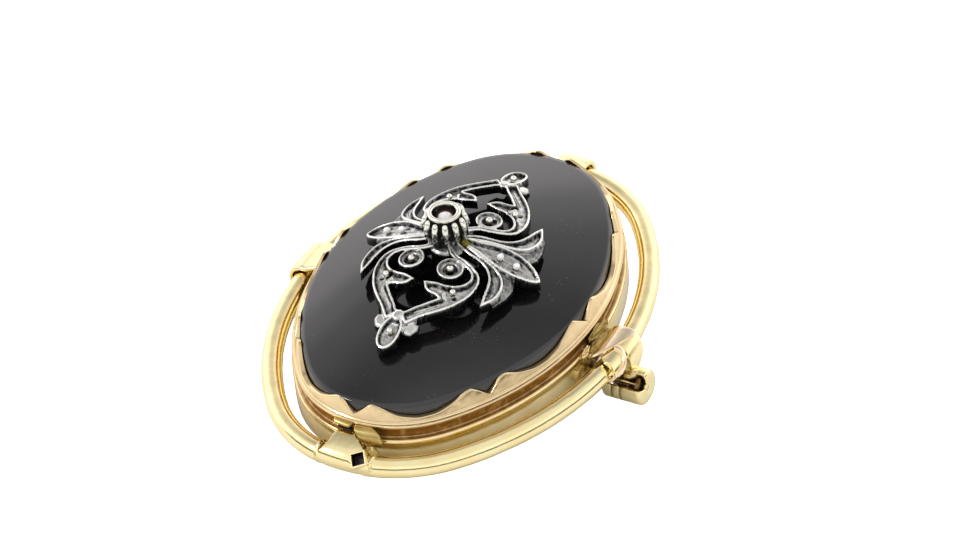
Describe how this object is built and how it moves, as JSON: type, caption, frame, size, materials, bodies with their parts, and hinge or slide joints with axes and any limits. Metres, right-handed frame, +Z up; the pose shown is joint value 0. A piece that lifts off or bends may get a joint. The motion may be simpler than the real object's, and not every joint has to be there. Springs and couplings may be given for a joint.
{
  "type": "pendant brooch",
  "caption": "Oval onyx brooch with a scalloped gold collar, an outer wire frame, a silver openwork ornament, a hinged pin, a roller catch and a pendant socket.",
  "frame": {"origin": "Middle of the outline in X and Y, at the height of the surface that the brooch lies on.", "axes": "+X along the pin from its hinge to its tip, +Y towards the far end of the oval's long axis, +Z up. The brooch lies on its catch, hinge and near strap, so its stone leans 6.6 degrees about X."},
  "size_m": [0.0372, 0.0473, 0.0164],
  "materials": {
    "gold": "yellow gold, worn polish",
    "onyx": "black, high polish",
    "silver": "oxidised silver, bright on the rails",
    "rose_cut": "old rose-cut stone, clear to greyish"
  },
  "bodies": {
    "brooch": {"mount": "gold", "onyx": "onyx", "ornament": "silver", "centre_stone": "rose_cut", "leaf_stone_1": "rose_cut", "leaf_stone_2": "rose_cut", "leaf_stone_3": "rose_cut", "leaf_stone_4": "rose_cut"},
    "pin": {"pin_stem": "gold"},
    "roller": {"catch_roller": "gold"}
  },
  "joints": [
    {"name": "pin_swing", "type": "hinge", "parent": "brooch", "child": "pin", "pos_m": [-0.0155, 0.0003, 0.0017], "axis": [0, 0.9934, 0.1151], "range_deg": [0, 95]},
    {"name": "catch_turn", "type": "hinge", "parent": "brooch", "child": "roller", "pos_m": [0.01661, 0.0003, 0.0017], "axis": [1, 0, 0], "range_deg": [-105, 0]}
  ]
}
